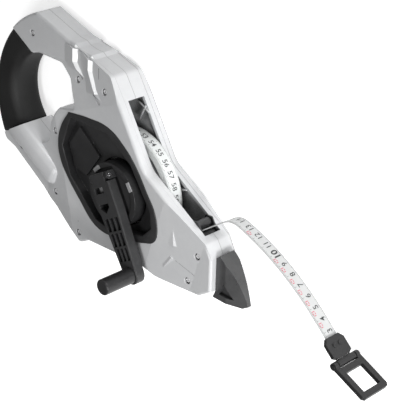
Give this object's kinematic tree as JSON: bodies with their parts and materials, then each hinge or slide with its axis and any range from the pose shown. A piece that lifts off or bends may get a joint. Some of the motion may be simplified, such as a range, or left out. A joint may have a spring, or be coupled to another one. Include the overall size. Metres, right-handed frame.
{
  "type": "long tape measure",
  "caption": "Open-frame long tape measure with a D-handle, folding crank, wound steel tape, guide rollers, ground spike and a folding end ring.",
  "frame": {"origin": "on the reel axis, in the plane of the plain side's flat face, which the tool lies on", "axes": "+X from the handle out of the tape mouth, +Y from the base line to the top of the handle, +Z along the reel axis to the crank side"},
  "size_m": [0.422, 0.2157, 0.0815],
  "materials": {
    "casing_silver": "satin metallic-grey paint on moulded plastic",
    "black_plastic": "fine-textured black moulded plastic",
    "grip_rubber": "soft matt black over-mould",
    "knob_plastic": "smooth dark grey plastic",
    "tape_white": "white coated steel strip with printed scale",
    "steel": "zinc-plated steel",
    "bush_brass": "turned brass",
    "tab_grey": "light grey moulded plastic",
    "reel_plastic": "plain black moulded plastic"
  },
  "bodies": {
    "casing": {"left_shell": "casing_silver", "right_shell": "casing_silver", "shell_screws": "steel", "handle_grip": "grip_rubber", "left_bezel": "black_plastic", "right_cover": "black_plastic", "main_axle": "steel", "axle_washer": "steel", "axle_screw": "steel", "upper_roller_pin": "steel", "lower_roller_pin": "steel", "mouth_bracket": "black_plastic", "ground_spike": "black_plastic", "spike_pin": "steel"},
    "reel": {"reel_drum": "reel_plastic", "left_flange": "reel_plastic", "right_flange": "reel_plastic", "left_bush": "bush_brass", "right_bush": "bush_brass", "wound_tape_core": "tape_white", "wound_tape_outer_turn": "tape_white", "crank_hub": "black_plastic", "hub_plate": "tab_grey", "hub_tabs": "tab_grey", "crank_hinge_pin": "steel"},
    "crank": {"crank_arm": "black_plastic", "crank_latch": "black_plastic", "knob_axle": "steel"},
    "knob": {"crank_knob": "knob_plastic"},
    "upper_roller": {"upper_roller": "black_plastic"},
    "lower_roller": {"lower_roller": "black_plastic"},
    "tape": {"tape_blade": "tape_white", "clip_top_plate": "black_plastic", "clip_bottom_plate": "black_plastic", "clip_rivets": "steel", "clip_hinge": "black_plastic"},
    "ring": {"end_ring": "black_plastic"}
  },
  "joints": [
    {"name": "reel_spin", "type": "hinge", "parent": "casing", "child": "reel", "pos_m": [0, 0, 0.019], "axis": [0, 0, 1], "continuous": true},
    {"name": "crank_fold", "type": "hinge", "parent": "reel", "child": "crank", "pos_m": [-0.00756, 0.01523, 0.047], "axis": [-0.8957, -0.4446, 0], "range_deg": [0, 100]},
    {"name": "knob_spin", "type": "hinge", "parent": "crank", "child": "knob", "pos_m": [0.02957, -0.05956, 0.047], "axis": [0, 0, 1], "continuous": true},
    {"name": "upper_roller_spin", "type": "hinge", "parent": "casing", "child": "upper_roller", "pos_m": [0.08054, -0.00692, 0.019], "axis": [0, 0, 1], "continuous": true},
    {"name": "lower_roller_spin", "type": "hinge", "parent": "casing", "child": "lower_roller", "pos_m": [0.08546, -0.01481, 0.019], "axis": [0, 0, 1], "continuous": true},
    {"name": "tape_pull", "type": "slide", "parent": "casing", "child": "tape", "axis": [0.848, 0.5299, 0], "range_m": [0, 0.05]},
    {"name": "ring_fold", "type": "hinge", "parent": "tape", "child": "ring", "pos_m": [0.22906, -0.06818, 0.019], "axis": [0, 0, 1], "range_deg": [-90, 90]}
  ]
}
